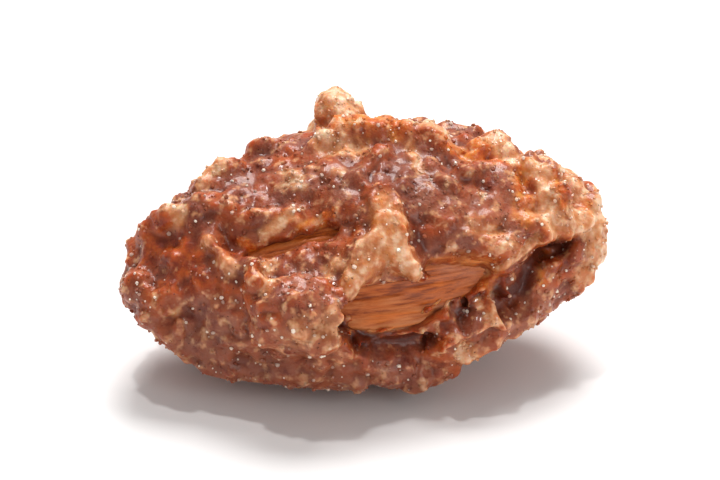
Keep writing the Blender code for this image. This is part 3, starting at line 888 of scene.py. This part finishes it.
crust.data.materials.clear()
crust.data.materials.append(sugar_finish("cinnamon_sugar", 0.85, 0.32))
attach(crust, "root")
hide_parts("sugar_crust")

# The sugar crystals: coarse grains that stuck on last and didn't melt. They are small clear blocks
# half sunk in the crust; most take its colour, and some are frosted nearly white, which also stands
# in for painted glints.
CRYSTALS = 4200
CRYSTAL_SIZE = (0.055 * MM, 0.15 * MM)
CRYSTAL_REACH = 0.62 * MM
CRYSTAL_LIFT = 1.4
BARE_SHARE = 0.78

draw = np.random.default_rng(23)
places, normals, corners = scatter(crust.data, CRYSTALS, draw, CRYSTAL_REACH)
low, high = CRYSTAL_SIZE
radii = low + (high - low) * draw.random(CRYSTALS) ** 2.0
sizes = radii[:, None] * (0.8 + 0.4 * draw.random((CRYSTALS, 3)))
block_points, block_faces = ball_shape(1)
block_points *= 0.85 + 0.3 * draw.random((len(block_points), 1))
places[:, 2] = np.maximum(places[:, 2], CRYSTAL_LIFT * radii)
turns = any_turns(CRYSTALS, draw)
blocks = strewn("crystals", block_points, block_faces, places, sizes, turns)
crystals = add_to_scene("sugar_crystals", blocks)
frost_and_glint = np.clip((draw.random(CRYSTALS) - BARE_SHARE) / (1 - BARE_SHARE), 0, 1)
frost_and_glint *= 1 - 0.7 * np.maximum(shares["painted_shade"], shares["clear"])[corners]
grain_shares = {name: values[corners] for name, values in shares.items()}
grain_shares["frost_and_glint"] = frost_and_glint
for name, values in grain_shares.items():
    set_shares(blocks, name, np.repeat(values, len(block_points)))
set_points(blocks, np.clip(mesh_points(blocks), box_low, box_high))
blocks.materials.append(sugar_finish("sugar_grains", 0.0, 0.7))
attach(crystals, "root")

# The camera, the pale table and the light: a large soft light over and behind the nut on the right,
# white surroundings that fill the front, and a small light that picks out the glints.
VIEW_AZIMUTH = math.radians(-12)
VIEW_ELEVATION = math.radians(28)
VIEW_WIDTH = 40 * MM
VIEW_RAISED = 0.6 * MM
LENS = 400.0
SENSOR = 36.0

camera = add_to_scene("camera", bpy.data.cameras.new("camera"))
camera.data.lens = LENS
camera.data.sensor_width = SENSOR
camera.data.clip_start = 0.01
camera.data.clip_end = 20
back = Vector(
    (
        math.sin(VIEW_AZIMUTH) * math.cos(VIEW_ELEVATION),
        -math.cos(VIEW_AZIMUTH) * math.cos(VIEW_ELEVATION),
        math.sin(VIEW_ELEVATION),
    )
)
right = Vector((math.cos(VIEW_AZIMUTH), math.sin(VIEW_AZIMUTH), 0))
up = back.cross(right)
camera.location = nut_middle + up * VIEW_RAISED + back * (VIEW_WIDTH * LENS / SENSOR)
camera.rotation_euler = back.to_track_quat("Z", "Y").to_euler()
bpy.context.scene.camera = camera

bpy.ops.mesh.primitive_plane_add(size=4)
floor = bpy.context.object
floor.name = "floor"
table, shader, *_ = new_material("pale_table")
feed(shader, "Base Color", srgb(236, 234, 233))
feed(shader, "Roughness", 0.55)
floor.data.materials.append(table)

world = bpy.data.worlds.new("surroundings")
world.use_nodes = True
world.node_tree.nodes["Background"].inputs["Color"].default_value = (1, 1, 1, 1)
world.node_tree.nodes["Background"].inputs["Strength"].default_value = 0.4
bpy.context.scene.world = world


def soft_light(name, place, width, power):
    """A square light that faces the nut."""
    light = bpy.data.lights.new(name, "AREA")
    light.size = width
    light.energy = power
    lamp = add_to_scene(name, light)
    lamp.location = nut_middle + Vector(place)
    lamp.rotation_euler = Vector(place).to_track_quat("Z", "Y").to_euler()


soft_light("window_light", (0.18, 0.42, 0.75), 0.45, 9.0)
soft_light("fill_light", (0.35, -0.6, 0.3), 0.4, 1.6)
soft_light("glint_light", (-0.1, 0.12, 0.8), 0.05, 1.6)
bpy.context.scene.view_settings.view_transform = "Standard"
